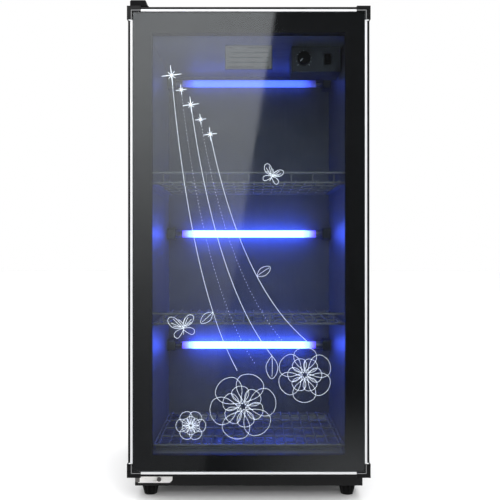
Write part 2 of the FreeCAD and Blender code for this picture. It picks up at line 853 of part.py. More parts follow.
def make_control_box():
    """A housing under the ceiling that carries the thermostat and the power switch."""
    outer = box("control_outer", ("control_left", "control_right"),
                ("control_front", "control_front + control_depth"), ("ceiling - control_height", "ceiling"))
    inner = box("control_inner", ("control_left + control_wall", "control_right - control_wall"),
                ("control_front + control_wall", "control_front + control_depth - control_wall"),
                ("ceiling - control_height + control_wall", "ceiling"))
    through = ("control_front - control_wall", "control_front + 2 * control_wall")
    shaft = rod("control_shaft_hole", "y", through, ("knob_x", "control_middle"),
                "knob_shaft_radius + pin_running_clearance")
    half_hole = "(rocker_width / 2 + rocker_margin)"
    switch = box("control_switch_hole", (f"rocker_x - {half_hole}", f"rocker_x + {half_hole}"), through,
                 ("control_middle - rocker_half - rocker_margin",
                  "control_middle + rocker_half + rocker_margin"))
    keep(cut("control", outer, [inner, shaft, switch]), "control_box")


def make_knob():
    """A fluted dial turned about its own Z axis, then laid with its face to the front."""
    body = new_body("thermostat_knob")
    dial = new_sketch(body, "XY_Plane", "knob_gap")
    draw_circle(dial, "0", "0", "knob_radius")
    add_pad(body, dial, "knob_height")
    shaft = new_sketch(body, "XY_Plane", "knob_gap - knob_shaft_length")
    draw_circle(shaft, "0", "0", "knob_shaft_radius")
    whole = add_pad(body, shaft, "knob_shaft_length")
    top = value("knob_gap + knob_height")
    rim = edges_where(whole.Shape, lambda edge: abs(edge.BoundBox.ZMin - top) < LINE_TOLERANCE)
    chamfer = body.newObject("PartDesign::Chamfer", "knob_chamfer_edge")
    chamfer.Base = (whole, rim)
    chamfer.setExpression("Size", bound("knob_chamfer"))
    doc.recompute()
    flute = new_sketch(body, "XY_Plane")
    draw_circle(flute, "knob_radius + knob_flute_radius / 2", "0", "knob_flute_radius")
    add_pattern(body, add_pocket(body, flute), "knob_flutes")
    pointer = new_sketch(body, "XY_Plane", "knob_gap + knob_height")
    draw_outline(pointer, rectangle(("-knob_pointer_width / 2", "knob_pointer_width / 2"),
                                    ("knob_radius / 3", "knob_radius - knob_chamfer")))
    add_pocket(body, pointer, "knob_pointer_depth")
    place_facing_front(body, "knob_x", "control_front", "control_middle")
    keep(body, "thermostat_knob")


def place_facing_front(body, x, y, z):
    """Turns the body's +Z to -Y and moves its origin to the place given."""
    body.Placement = Placement(Vector(), Rotation(Vector(1, 0, 0), 90))
    for letter, place in zip("xyz", (x, y, z)):
        body.setExpression(f"Placement.Base.{letter}", bound(place))


def make_rocker():
    """A switch rocker, modelled level about its pivot and left tilted to off."""
    body = new_body("power_rocker")
    side = new_sketch(body, "YZ_Plane", "-rocker_width / 2")
    draw_outline(side, [
        ("-rocker_nose", "rocker_half"), ("-rocker_valley", "0"), ("-rocker_nose", "-rocker_half"),
        ("0", "-rocker_half"), ("rocker_back", "0"), ("0", "rocker_half"),
    ])
    add_pad(body, side, "rocker_width")
    body.Placement = Placement(Vector(), Rotation(Vector(1, 0, 0), -value("rocker_tilt")))
    for letter, place in zip("xyz", ("rocker_x", "rocker_y", "control_middle")):
        body.setExpression(f"Placement.Base.{letter}", bound(place))
    keep(body, "power_rocker")


# ---------------------------------------------------------------- feet

def make_feet():
    blocks = []
    for label, x, y in foot_places():
        blank = box("foot_block_blank", (f"{x} - foot_block / 2", f"{x} + foot_block / 2"),
                    (f"{y} - foot_block / 2", f"{y} + foot_block / 2"), ("foot_height", "base_top - skin"))
        thread = rod("foot_thread", "z", ("foot_height", "foot_height + foot_stud_length + skin"), (x, y),
                     "foot_stud_radius + foot_stud_clearance")
        blocks.append(cut("foot_block_cut", blank, [thread]))
        make_foot(label, x, y)
    keep(group("foot_block_group", blocks), "foot_blocks")


def make_foot(label, x, y):
    """A tapered, fluted levelling foot with its stud, turned about its own axis."""
    body = new_body(label)
    half = new_sketch(body, "XZ_Plane")
    draw_outline(half, [
        ("0", "0"), ("foot_bottom_radius", "0"), ("foot_top_radius", "foot_height - foot_rim"),
        ("foot_top_radius", "foot_height"), ("foot_stud_radius", "foot_height"),
        ("foot_stud_radius", "foot_height + foot_stud_length"), ("0", "foot_height + foot_stud_length"),
    ])
    turned = body.newObject("PartDesign::Revolution", f"{label}_turned")
    turned.Profile = half
    turned.ReferenceAxis = (half, ["V_Axis"])
    turned.Angle = 360
    doc.recompute()
    flute = new_sketch(body, "XY_Plane", "foot_height - foot_rim")
    draw_circle(flute, "foot_flute_ring", "0", "foot_flute_radius")
    add_pattern(body, add_pocket(body, flute, "foot_height - foot_rim"), "foot_flutes")
    body.setExpression("Placement.Base.x", bound(x))
    body.setExpression("Placement.Base.y", bound(y))
    keep(body, label)


# ---------------------------------------------------------------- door frame

def section(outer, shelf, inner, sign):
    """A frame member's section, from its outer edge inwards. Pairs are (across, depth)."""
    lip = f"{outer} + {sign} * frame_lip"
    return [
        (outer, "door_front"), (lip, "door_front"), (lip, "groove_back"),
        (shelf, "groove_back"), (shelf, "frit_back"), (inner, "frit_back"),
        (inner, "door_back"), (outer, "door_back"),
    ]


def channel(outer, inner, sign):
    """The hollow inside a frame member, one wall in from its faces."""
    across = (f"{outer} + {sign} * frame_wall", f"{inner} - {sign} * frame_wall")
    return rectangle(across, ("frit_back + frame_wall", "door_back - frame_wall"))


def make_stile(label, side):
    body = new_body(label)
    outer, shelf = f"{side} * half_door", f"{side} * half_glass"
    inner = f"{side} * (half_door - stile_width)"
    plan = new_sketch(body, "XY_Plane", "door_bottom")
    draw_outline(plan, section(outer, shelf, inner, -side))
    draw_outline(plan, channel(outer, inner, -side))
    add_pad(body, plan, "door_height")
    for edge, rail in (("door_top", "door_top - top_rail_height"),
                       ("door_bottom", "door_bottom + bottom_rail_height")):
        wedge = new_sketch(body, "XZ_Plane")
        draw_outline(wedge, [(outer, edge), (inner, edge), (inner, rail)])
        add_pocket(body, wedge)
    keep(body, label)


def make_rail(label, edge, rail, sign):
    """A top or bottom member; sign is the way from its outer edge to its inner one."""
    body = new_body(label)
    shelf = f"{edge} + {sign} * (frame_lip + trim_width)"
    profile = new_sketch(body, "YZ_Plane", "-half_door")
    draw_outline(profile, [(depth, up) for up, depth in section(edge, shelf, rail, sign)])
    draw_outline(profile, [(depth, up) for up, depth in channel(edge, rail, sign)])
    add_pad(body, profile, "door_width")
    for side in (LEFT, RIGHT):
        outer, inner = f"{side} * half_door", f"{side} * (half_door - stile_width)"
        wedge = new_sketch(body, "XZ_Plane")
        draw_outline(wedge, [(outer, edge), (outer, rail), (inner, rail)])
        add_pocket(body, wedge)
    hole = new_sketch(body, "XY_Plane")
    draw_circle(hole, "hinge_x", "hinge_y", "pin_radius + 4 * pin_running_clearance")
    add_pocket(body, hole)
    keep(body, label)


def make_trim():
    """Bright strips pressed into the groove between the frame's lip and the glass."""
    depth = ("door_front", "groove_back")
    top, bottom = "door_top + cap_wall - cap_leg", "door_bottom - cap_wall + cap_leg"
    sides = [
        box("trim_side", mirrored(("frame_lip - half_door", "-half_glass"), side), depth, (bottom, top))
        for side in (LEFT, RIGHT)
    ]
    keep(group("trim_sides", sides), "side_trim_strips")
    width = ("cap_leg - cap_wall - half_door", "half_door + cap_wall - cap_leg")
    ends = [
        box("trim_end", width, depth, ("glass_top", "door_top - frame_lip")),
        box("trim_end", width, depth, ("door_bottom + frame_lip", "glass_bottom")),
    ]
    keep(group("trim_ends", ends), "end_trim_strips")


def inlay_bars(side, edge, sign):
    """The two thin bars of a corner cap's bright line; sign is the way in from the edge."""
    line_x = "-(half_door + half_glass - frame_lip) / 2"
    line_z = f"{edge} + {sign} * (frame_lip + trim_width / 2)"
    depth = ("door_front - cap_front", "door_front - cap_front + inlay_depth")
    tip_x = "cap_leg - cap_wall - half_door"
    tip_z = f"{edge} + {sign} * (cap_leg - cap_wall)"
    upright_z = (f"{line_z} - {sign} * inlay_width / 2", tip_z)
    level_z = (f"{line_z} - {sign} * inlay_width / 2", f"{line_z} + {sign} * inlay_width / 2")
    if sign < 0:
        upright_z, level_z = upright_z[::-1], level_z[::-1]
    start = f"{line_x} - inlay_width / 2"
    return [
        box("inlay_upright", mirrored((start, f"{line_x} + inlay_width / 2"), side), depth, upright_z),
        box("inlay_level", mirrored((start, tip_x), side), depth, level_z),
    ]


def make_cap(side, edge, sign):
    """A moulded cover over one corner of the door frame."""
    outside = f"{edge} - {sign} * cap_wall"
    tip = f"{edge} + {sign} * (cap_leg - cap_wall)"
    glass = f"{edge} + {sign} * (frame_lip + trim_width)"
    whole_z = (outside, tip) if sign > 0 else (tip, outside)
    frame_z = (edge, tip) if sign > 0 else (tip, edge)
    glass_z = (glass, tip) if sign > 0 else (tip, glass)
    reach = "cap_leg - cap_wall - half_door"
    whole = box("cap_whole", mirrored(("-half_door - cap_wall", reach), side),
                ("door_front - cap_front", "door_back"), whole_z)
    frame = box("cap_frame", mirrored(("-half_door", reach), side), ("door_front", "door_back"), frame_z)
    glass_cut = box("cap_glass", mirrored(("-half_glass", reach), side),
                    ("door_front - cap_front", "door_front"), glass_z)
    tools = [frame, glass_cut] + inlay_bars(side, edge, sign)
    if side == LEFT:
        tools.append(rod("cap_pin_hole", "z", whole_z, ("hinge_x", "hinge_y"), "pin_radius + cap_wall"))
    return cut("cap", whole, tools)


def make_caps():
    for label, edge, sign in (("top_corner_caps", "door_top", -1), ("bottom_corner_caps", "door_bottom", 1)):
        keep(group("cap_pair", [make_cap(side, edge, sign) for side in (LEFT, RIGHT)]), label)
    lines = [
        fuse("inlay", inlay_bars(side, edge, sign))
        for edge, sign in (("door_top", -1), ("door_bottom", 1))
        for side in (LEFT, RIGHT)
    ]
    keep(group("inlay_group", lines), "corner_cap_inlays")


# ---------------------------------------------------------------- glazing and seal

def make_glazing():
    glass_x, glass_z = ("-half_glass", "half_glass"), ("glass_bottom", "glass_top")
    keep(box("outer_pane", glass_x, ("door_front", "glass_back"), glass_z), "outer_glass")
    window_x, window_z = ("-half_window", "half_window"), ("window_bottom", "window_top")
    frit_y = ("glass_back + print_gap", "frit_back")
    keep(ring("frit", glass_x, frit_y, glass_z, window_x, window_z), "printed_border")
    pane_x, pane_z = ("-half_pane", "half_pane"), ("pane_bottom", "pane_top")
    hole_x = ("-half_window - spacer_setback", "half_window + spacer_setback")
    hole_z = ("window_bottom - spacer_setback", "window_top + spacer_setback")
    keep(ring("spacer", pane_x, ("frit_back", "inner_glass_front"), pane_z, hole_x, hole_z), "glass_spacer")
    keep(box("inner_pane", pane_x, ("inner_glass_front", "inner_glass_back"), pane_z), "inner_glass")
    label = box("label_plate", ("-label_width / 2", "label_width / 2"),
                ("glass_back + print_gap", "glass_back + print_gap + label_thickness"),
                ("window_top - label_drop - label_height", "window_top - label_drop"))
    keep(label, "notice_label")


def make_seal():
    """A magnetic door seal: a closed rubber ring with a magnet strip inside each side."""
    side = "half_door - gasket_side_inset"
    top, bottom = "door_top - gasket_top_inset", "door_bottom + gasket_bottom_inset"
    depth = ("door_back", "body_front - seal_clearance")
    blank = ring("gasket_blank", (f"-({side})", side), depth, (bottom, top),
                 (f"gasket_width - ({side})", f"{side} - gasket_width"),
                 (f"{bottom} + gasket_width", f"{top} - gasket_width"))
    middle = "gasket_width / 2"
    half_slot = "(magnet_width / 2 + magnet_clearance)"
    magnet_y = "(door_back + body_front - seal_clearance) / 2"
    slot_y = (f"{magnet_y} - magnet_thickness / 2 - magnet_clearance",
              f"{magnet_y} + magnet_thickness / 2 + magnet_clearance")
    slot = ring("gasket_slot",
                (f"{middle} - {half_slot} - ({side})", f"{side} - {middle} + {half_slot}"), slot_y,
                (f"{bottom} + {middle} - {half_slot}", f"{top} - {middle} + {half_slot}"),
                (f"{middle} + {half_slot} - ({side})", f"{side} - {middle} - {half_slot}"),
                (f"{bottom} + {middle} + {half_slot}", f"{top} - {middle} - {half_slot}"))
    keep(cut("gasket", blank, [slot]), "door_gasket")
    magnet_depth = (f"{magnet_y} - magnet_thickness / 2", f"{magnet_y} + magnet_thickness / 2")
    ends = (f"{bottom} + 2 * gasket_width", f"{top} - 2 * gasket_width")
    magnets = [
        box("magnet_side", mirrored((f"{middle} - magnet_width / 2 - ({side})",
                                     f"{middle} + magnet_width / 2 - ({side})"), across),
            magnet_depth, ends)
        for across in (LEFT, RIGHT)
    ]
    magnets += [
        box("magnet_end", (f"2 * gasket_width - ({side})", f"{side} - 2 * gasket_width"), magnet_depth,
            (f"{level} - magnet_width / 2", f"{level} + magnet_width / 2"))
        for level in (f"{bottom} + {middle}", f"{top} - {middle}")
    ]
    keep(group("magnet_group", magnets), "gasket_magnets")


# ---------------------------------------------------------------- hinges

def make_hinge_bushes():
    """Bored plugs in the hinge stile's ends; they turn on the pins."""
    x = ("frame_wall + bush_fit - half_door", "stile_width - frame_wall - bush_fit - half_door")
    y = ("frit_back + frame_wall + bush_fit", "door_back - frame_wall - bush_fit")
    top = "door_top - frame_wall - bush_fit"
    bottom = "door_bottom + frame_wall + bush_fit"
    spans = ((f"{top} - bush_length", top), (bottom, f"{bottom} + bush_length"))
    bushes = [
        cut("bush", box("bush_blank", x, y, span),
            [rod("bush_bore", "z", span, ("hinge_x", "hinge_y"), "pin_radius + pin_running_clearance")])
        for span in spans
    ]
    keep(group("bush_pair", bushes), "hinge_bushes")


def make_hinge_pins():
    axis = ("hinge_x", "hinge_y")
    top = fuse("top_pin", [
        rod("top_pin_shank", "z", ("door_top - pin_reach", "arm_top"), axis, "pin_radius"),
        rod("top_pin_head", "z", ("arm_top", "arm_top + pin_head_height"), axis, "pin_head_radius"),
    ])
    bottom = rod("bottom_pin", "z", ("tongue_bottom - pin_tail", "door_bottom + pin_reach"), axis,
                 "pin_radius")
    keep(group("pin_pair", [top, bottom]), "hinge_pins")


def make_top_bracket():
    """A stepped steel bracket: its foot is screwed to the roof, its arm reaches over the door."""
    body = new_body("top_hinge_bracket")
    profile = new_sketch(body, "YZ_Plane", "hinge_x - bracket_outer")
    foot_top = "body_top + bracket_thickness"
    draw_outline(profile, [
        ("hinge_y - bracket_nose", "arm_bottom"), ("riser_front", "arm_bottom"), ("riser_front", "body_top"),
        ("riser_back + bracket_foot", "body_top"), ("riser_back + bracket_foot", foot_top),
        ("riser_back", foot_top), ("riser_back", "arm_top"), ("hinge_y - bracket_nose", "arm_top"),
    ])
    add_pad(body, profile, "bracket_outer + bracket_inner")
    holes = new_sketch(body, "XY_Plane")
    draw_circle(holes, "hinge_x", "hinge_y", "pin_radius")
    for across, along in top_screw_places():
        draw_circle(holes, across, along, "screw_radius + screw_clearance")
    add_pocket(body, holes)
    keep(body, "top_hinge_bracket")


def make_bottom_bracket():
    """A bright plate screwed to the base band, with a tongue under the door that holds the pin."""
    body = new_body("bottom_hinge_bracket")
    plate = new_sketch(body, "XZ_Plane", "-body_front")
    low, right = "tongue_top - plate_height", "hinge_x + plate_inner"
    left = "hinge_x - plate_outer"
    draw_outline(plate, [
        (left, "tongue_top"), (left, f"{low} + plate_corner"), (f"{left} + plate_corner", low),
        (f"{right} - plate_slant", low), (right, f"{low} + plate_slant"), (right, "tongue_top"),
    ])
    add_pad(body, plate, "bracket_thickness")
    tongue = new_sketch(body, "XY_Plane", "tongue_bottom")
    draw_outline(tongue, rectangle(("hinge_x - bracket_outer", "hinge_x + bracket_inner"),
                                   ("hinge_y - bracket_nose", "body_front - bracket_thickness / 2")))
    add_pad(body, tongue, "bracket_thickness")
    pin_hole = new_sketch(body, "XY_Plane")
    draw_circle(pin_hole, "hinge_x", "hinge_y", "pin_radius")
    add_pocket(body, pin_hole)
    screw_hole = new_sketch(body, "XZ_Plane")
    draw_circle(screw_hole, "hinge_x + plate_screw_reach", "tongue_top - plate_height + plate_screw_rise",
                "screw_radius + screw_clearance")
    add_pocket(body, screw_hole)
    keep(body, "bottom_hinge_bracket")


def make_hinge_screws():
    screws = [
        make_screw("top_hinge_screw", "z", "body_top + bracket_thickness", 1, place)
        for place in top_screw_places()
    ]
    screws.append(make_screw("bottom_hinge_screw", "y", "body_front - bracket_thickness", -1,
                             ("hinge_x + plate_screw_reach", "tongue_top - plate_height + plate_screw_rise")))
    keep(group("hinge_screw_group", screws), "hinge_screws")


def cover_outline(left, right, bottom, top, flare):
    """The hinge cover seen from the front: chamfered on top and flared at the foot of one side."""
    return [
        (left, bottom), (f"{right} + {flare}", bottom), (right, f"{bottom} + cover_flare_height"),
        (right, f"{top} - cover_chamfer"), (f"{right} - cover_chamfer", top),
        (f"{left} + cover_chamfer", top), (left, f"{top} - cover_chamfer"),
    ]


def make_hinge_cover():
    """A moulded shell over the upper bracket, its pin head and its screws."""
    body = new_body("top_hinge_cover")
    left, right = "hinge_x - cover_outer", "hinge_x + cover_inner"
    top = "cover_bottom + cover_height"
    nose = "hinge_y - cover_nose"
    rear = "body_front + cover_rear"
    front_part = new_sketch(body, "XZ_Plane", f"-({rear})")
    draw_outline(front_part, cover_outline(left, right, "cover_bottom", top, "cover_flare"))
    add_pad(body, front_part, f"{rear} - ({nose})")
    skirt = new_sketch(body, "XZ_Plane", f"-({rear})")
    draw_outline(skirt, rectangle((left, right), ("body_top + cover_gap", "cover_bottom + cover_wall")))
    add_pad(body, skirt, f"{rear} - riser_front + bracket_gap")
    hollow = new_sketch(body, "XY_Plane", f"{top} - cover_wall")
    draw_outline(hollow, rectangle((f"{left} + cover_wall", f"{right} - cover_wall"),
                                   (f"{nose} + cover_wall", f"{rear} - cover_wall")))
    add_pocket(body, hollow, f"{top} - cover_wall - body_top")
    keep(body, "top_hinge_cover")


# ---------------------------------------------------------------- assembly

def make_all():
    make_base_pan()
    make_side_panel("left_side_panel", LEFT)
    make_side_panel("right_side_panel", RIGHT)
    make_top_panel()
    make_rear_panel()
    make_rear_screws()
    make_front_frame()
    make_liner()
    make_insulation()
    make_shelf_rails()
    make_deck("upper_shelf_deck", "upper_shelf")
    make_fence("upper_shelf_fence", "upper_shelf")
    make_deck("middle_shelf_deck", "middle_shelf")
    make_fence("middle_shelf_fence", "middle_shelf")
    make_deck("bottom_rack", "rack_level")
    make_drip_tray()
    make_heater()
    make_lamps()
    make_ballasts()
    make_terminal_block()
    make_power_inlet()
    make_control_box()
    make_knob()
    make_rocker()
    make_feet()
    make_stile("door_frame_left", LEFT)
    make_stile("door_frame_right", RIGHT)
    make_rail("door_frame_top", "door_top", "door_top - top_rail_height", -1)
    make_rail("door_frame_bottom", "door_bottom", "door_bottom + bottom_rail_height", 1)
    make_trim()
    make_caps()
    make_glazing()
    make_seal()
    make_hinge_bushes()
    make_hinge_pins()
    make_top_bracket()
    make_bottom_bracket()
    make_hinge_screws()
    make_hinge_cover()


def check_all():
    """Stops with the names of anything that failed to build."""
    failed = [item.Label for item in doc.Objects if {"Invalid", "Error"} & set(item.State)]
    failed += [piece.Label for piece in pieces if piece.Shape.isNull() or not piece.Shape.isValid()]
    if failed:
        raise RuntimeError(f"failed to build: {sorted(set(failed))}")


def write_all():
    os.makedirs("parts", exist_ok=True)
    for piece in pieces:
        piece.Shape.exportStep(os.path.join(FOLDER, f"{piece.Label}.step"))
    print(f"{len(pieces)} nodes written")


make_all()
doc.recompute()
check_all()
write_all()
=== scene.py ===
"""The hot towel cabinet's looks: materials, printed glass art, small trim, light and camera."""
import math

import bpy
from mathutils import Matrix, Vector


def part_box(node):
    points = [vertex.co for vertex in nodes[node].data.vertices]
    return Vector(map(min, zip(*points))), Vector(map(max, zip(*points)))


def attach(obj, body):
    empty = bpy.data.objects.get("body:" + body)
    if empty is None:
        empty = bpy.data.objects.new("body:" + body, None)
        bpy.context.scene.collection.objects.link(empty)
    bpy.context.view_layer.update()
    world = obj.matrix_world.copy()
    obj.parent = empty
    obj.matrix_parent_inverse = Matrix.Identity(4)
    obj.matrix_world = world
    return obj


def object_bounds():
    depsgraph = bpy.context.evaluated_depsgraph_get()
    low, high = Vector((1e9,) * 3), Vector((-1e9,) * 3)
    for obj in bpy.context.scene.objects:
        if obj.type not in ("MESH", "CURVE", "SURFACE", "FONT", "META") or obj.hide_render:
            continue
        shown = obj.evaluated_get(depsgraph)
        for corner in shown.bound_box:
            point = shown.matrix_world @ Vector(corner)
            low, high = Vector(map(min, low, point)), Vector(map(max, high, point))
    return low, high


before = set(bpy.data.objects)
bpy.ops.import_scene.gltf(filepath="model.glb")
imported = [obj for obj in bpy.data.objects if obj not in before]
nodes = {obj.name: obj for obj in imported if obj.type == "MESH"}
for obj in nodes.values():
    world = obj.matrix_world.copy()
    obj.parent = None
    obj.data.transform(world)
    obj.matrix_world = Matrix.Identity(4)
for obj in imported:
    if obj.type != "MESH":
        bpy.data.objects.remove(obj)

cad_low, cad_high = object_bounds()
scene = bpy.context.scene


# ---------------------------------------------------------------- material tools

# The cosines between which a rounded normal counts as off the true one, and as on it.
LEANT, UPRIGHT = 0.75, 0.98


class NodeTools:
    """Short ways to add, link and reckon with the nodes of one node tree."""

    def __init__(self, tree):
        self.tree = tree

    def add(self, kind, **settings):
        """A new node of a kind, with its settings."""
        node = self.tree.nodes.new(kind)
        for key, setting in settings.items():
            setattr(node, key, setting)
        return node

    def link(self, source, target):
        """Feeds an output into an input."""
        self.tree.links.new(source, target)

    def maths(self, operation, first, second=0.0):
        """One sum on numbers or outputs."""
        node = self.add("ShaderNodeMath", operation=operation)
        for socket, term in zip(node.inputs, (first, second)):
            if isinstance(term, (int, float)):
                socket.default_value = term
            else:
                self.link(term, socket)
        return node.outputs["Value"]

    def between(self, value, low, high, start=0.3, end=0.7, **settings):
        """Maps a value that runs from start to end onto low to high."""
        node = self.add("ShaderNodeMapRange", **settings)
        self.link(value, node.inputs["Value"])
        for key, number in (("From Min", start), ("From Max", end), ("To Min", low), ("To Max", high)):
            node.inputs[key].default_value = number
        return node.outputs["Result"]


class Look(NodeTools):
    """A node material built round one Principled shader, textured in the object's own metres."""

    def __init__(self, name, colour, roughness, metallic=0.0):
        self.material = bpy.data.materials.new(name)
        self.material.use_nodes = True
        super().__init__(self.material.node_tree)
        self.shader = self.tree.nodes["Principled BSDF"]
        self.shader.inputs["Base Color"].default_value = (*colour, 1.0)
        self.shader.inputs["Roughness"].default_value = roughness
        self.shader.inputs["Metallic"].default_value = metallic
        self.colour = colour
        self.place = self.add("ShaderNodeTexCoord").outputs["Object"]

    def stretched(self, scale):
        """The object's coordinates scaled apart on the three axes."""
        mapping = self.add("ShaderNodeMapping")
        mapping.inputs["Scale"].default_value = scale
        self.link(self.place, mapping.inputs["Vector"])
        return mapping.outputs["Vector"]

    def noise(self, scale, detail=3.0, stretch=None):
        """Cloudy noise from 0 to 1; scale is in cells per metre."""
        node = self.add("ShaderNodeTexNoise")
        node.inputs["Scale"].default_value = scale
        node.inputs["Detail"].default_value = detail
        self.link(self.stretched(stretch) if stretch else self.place, node.inputs["Vector"])
        return node.outputs["Fac"]

    def cells(self, scale, feature="F1"):
        """Distance to the nearest of many scattered points; scale is in points per metre."""
        node = self.add("ShaderNodeTexVoronoi", feature=feature)
        node.inputs["Scale"].default_value = scale
        self.link(self.place, node.inputs["Vector"])
        return node.outputs["Distance"]

    def mixed(self, factor, first, second):
        """A colour between two colours or sockets."""
        node = self.add("ShaderNodeMix", data_type="RGBA")
        self.link(factor, node.inputs["Factor"])
        for socket, colour in ((node.inputs[6], first), (node.inputs[7], second)):
            if isinstance(colour, tuple):
                socket.default_value = (*colour, 1.0)
            else:
                self.link(colour, socket)
        return node.outputs[2]

    def tint(self, factor, other):
        """The base colour goes to another colour where the factor rises."""
        self.link(self.mixed(factor, self.colour, other), self.shader.inputs["Base Color"])
        return self

    def rough(self, value):
        """The roughness follows a value."""
        self.link(value, self.shader.inputs["Roughness"])
        return self

    def bumps(self, height, distance, strength=1.0):
        """Surface relief; distance is its depth in metres."""
        node = self.add("ShaderNodeBump")
        node.inputs["Distance"].default_value = distance
        node.inputs["Strength"].default_value = strength
        self.link(height, node.inputs["Height"])
        self.link(node.outputs["Normal"], self.shader.inputs["Normal"])
        return self

    def edge_mask(self, radius=0.0016):
        """Near 1 along sharp edges, from how far a rounded normal leans off the true one."""
        bevel = self.add("ShaderNodeBevel", samples=4)
        bevel.inputs["Radius"].default_value = radius
        plain = self.add("ShaderNodeNewGeometry")
        dot = self.add("ShaderNodeVectorMath", operation="DOT_PRODUCT")
        self.link(bevel.outputs["Normal"], dot.inputs[0])
        self.link(plain.outputs["Normal"], dot.inputs[1])
        return self.between(dot.outputs["Value"], 1.0, 0.0, LEANT, UPRIGHT)


def powder_coat(name, colour, roughness, edge):
    """Baked powder paint: a fine orange peel, soft gloss clouds and rubbed edges."""
    look = Look(name, colour, roughness)
    cloud = look.noise(9, 4)
    look.rough(look.between(cloud, roughness - 0.02, roughness + 0.04))
    worn = look.maths("MULTIPLY", look.edge_mask(), look.between(look.noise(60, 5), 0.0, 0.8, 0.42, 0.62))
    look.tint(worn, edge)
    peel = look.maths("ADD", look.maths("MULTIPLY", look.noise(1500, 2), 0.6), look.noise(420, 2))
    return look.bumps(peel, 0.00008, 0.55).material


def moulded_plastic(name, colour, roughness):
    """Injection-moulded plastic: a spark-eroded grain with gloss where hands have polished it, and a painted
    highlight along its sharp edges.
    """
    look = Look(name, colour, roughness)
    look.rough(look.between(look.noise(18, 4), roughness - 0.08, roughness + 0.1))
    look.shader.inputs["Specular IOR Level"].default_value = 0.15
    # Painted highlight: every sharp edge is tinted lighter, as if it caught the light.
    edge_highlight_colour = tuple(min(1.0, part * 1.5 + 0.004) for part in colour)
    look.tint(look.maths("MULTIPLY", look.edge_mask(0.001), 0.6), edge_highlight_colour)
    return look.bumps(look.cells(1900), 0.00006, 0.5).material


def gloss_plastic(name, colour, roughness):
    """Polished plastic: hairline scuffs and a little dust in the gloss."""
    look = Look(name, colour, roughness)
    look.shader.inputs["Specular IOR Level"].default_value = 0.3
    scuffs = look.noise(40, 8, (1.0, 1.0, 14.0))
    look.rough(look.between(scuffs, roughness - 0.04, roughness + 0.16))
    dust = look.between(look.noise(900, 2), 0.0, 0.25, 0.6, 0.85)
    look.tint(dust, tuple(part * 2 + 0.012 for part in colour))
    return look.bumps(look.noise(160, 2), 0.00003, 0.3).material


def brushed_metal(name, colour, roughness, along, metallic=1.0, streak=0.35):
    """Metal with a drawn grain; along is the stretch that lays the streaks."""
    look = Look(name, colour, roughness, metallic)
    streaks = look.noise(1.0, 6, along)
    look.rough(look.between(streaks, roughness - 0.08, roughness + 0.12))
    darker = tuple(part * (1 - streak) for part in colour)
    smudge = look.maths("MULTIPLY", look.between(look.noise(14, 5), 0.0, 1.0), 0.5)
    look.tint(look.maths("ADD", look.maths("MULTIPLY", streaks, 0.5), smudge), darker)
    return look.bumps(streaks, 0.00004, 0.35).material


def plated_metal(name, colour, roughness, metallic=0.45):
    """Plated metal with fine level scratches and darker rubbed patches."""
    look = Look(name, colour, roughness, metallic)
    scratches = look.noise(1.0, 4, (70, 70, 420))
    look.rough(look.between(scratches, roughness - 0.06, roughness + 0.1))
    look.tint(look.between(look.noise(28, 4), 0.0, 0.3, 0.4, 0.7), tuple(part * 0.7 for part in colour))
    return look.bumps(scratches, 0.000004, 0.1).material


MIRRORED = (0.96, 0.98, 1.0)


def door_glass(name, tint, veil, mirror):
    """Clear glass: light goes straight through, it mirrors by angle, and wiping left a faint film."""
    look = Look(name, MIRRORED, 0.03, 1.0)
    wipes = look.noise(1.0, 6, (5.0, 1.0, 26.0))
    look.rough(look.between(wipes, 0.015, 0.06))
    clear = look.add("ShaderNodeBsdfTransparent")
    clear.inputs["Color"].default_value = (*tint, 1.0)
    # The same from both sides of a face, since light goes through the pane without bending.
    slope = look.add("ShaderNodeLayerWeight")
    slope.inputs["Blend"].default_value = 0.5
    grazing = look.maths("POWER", slope.outputs["Facing"], 5.0)
    gloss = look.maths("ADD", look.maths("MULTIPLY", grazing, 1.0 - mirror), mirror)
    film = look.between(wipes, 0.0, veil, 0.35, 0.75)
    blend = look.add("ShaderNodeMixShader")
    look.link(look.maths("ADD", gloss, film), blend.inputs["Fac"])
    look.link(clear.outputs["BSDF"], blend.inputs[1])
    look.link(look.shader.outputs["BSDF"], blend.inputs[2])
    look.link(blend.outputs["Shader"], look.tree.nodes["Material Output"].inputs["Surface"])
    return look.material


def enamel_print(name):
    """The fired black border behind the glass: deep, even and faintly speckled."""
    look = Look(name, (0.0025, 0.0025, 0.003), 0.4)
    look.shader.inputs["Specular IOR Level"].default_value = 0.15
    look.tint(look.between(look.noise(90, 3), 0.0, 0.6, 0.5, 0.8), (0.005, 0.005, 0.006))
    look.rough(look.between(look.noise(35, 4), 0.35, 0.5))
    return look.bumps(look.noise(60, 2), 0.00001, 0.2).material


def soft_rubber(name):
    """Door seal rubber: matt, finely pitted, with a dusty bloom."""
    look = Look(name, (0.022, 0.022, 0.023), 0.7)
    look.tint(look.between(look.noise(45, 5), 0.0, 0.5), (0.05, 0.05, 0.05))
    look.rough(look.between(look.noise(60, 3), 0.6, 0.85))
    return look.bumps(look.cells(1400, "SMOOTH_F1"), 0.00006, 0.5).material


LAMP_POWER = 32.0
UPPER_LAMP = 0.09


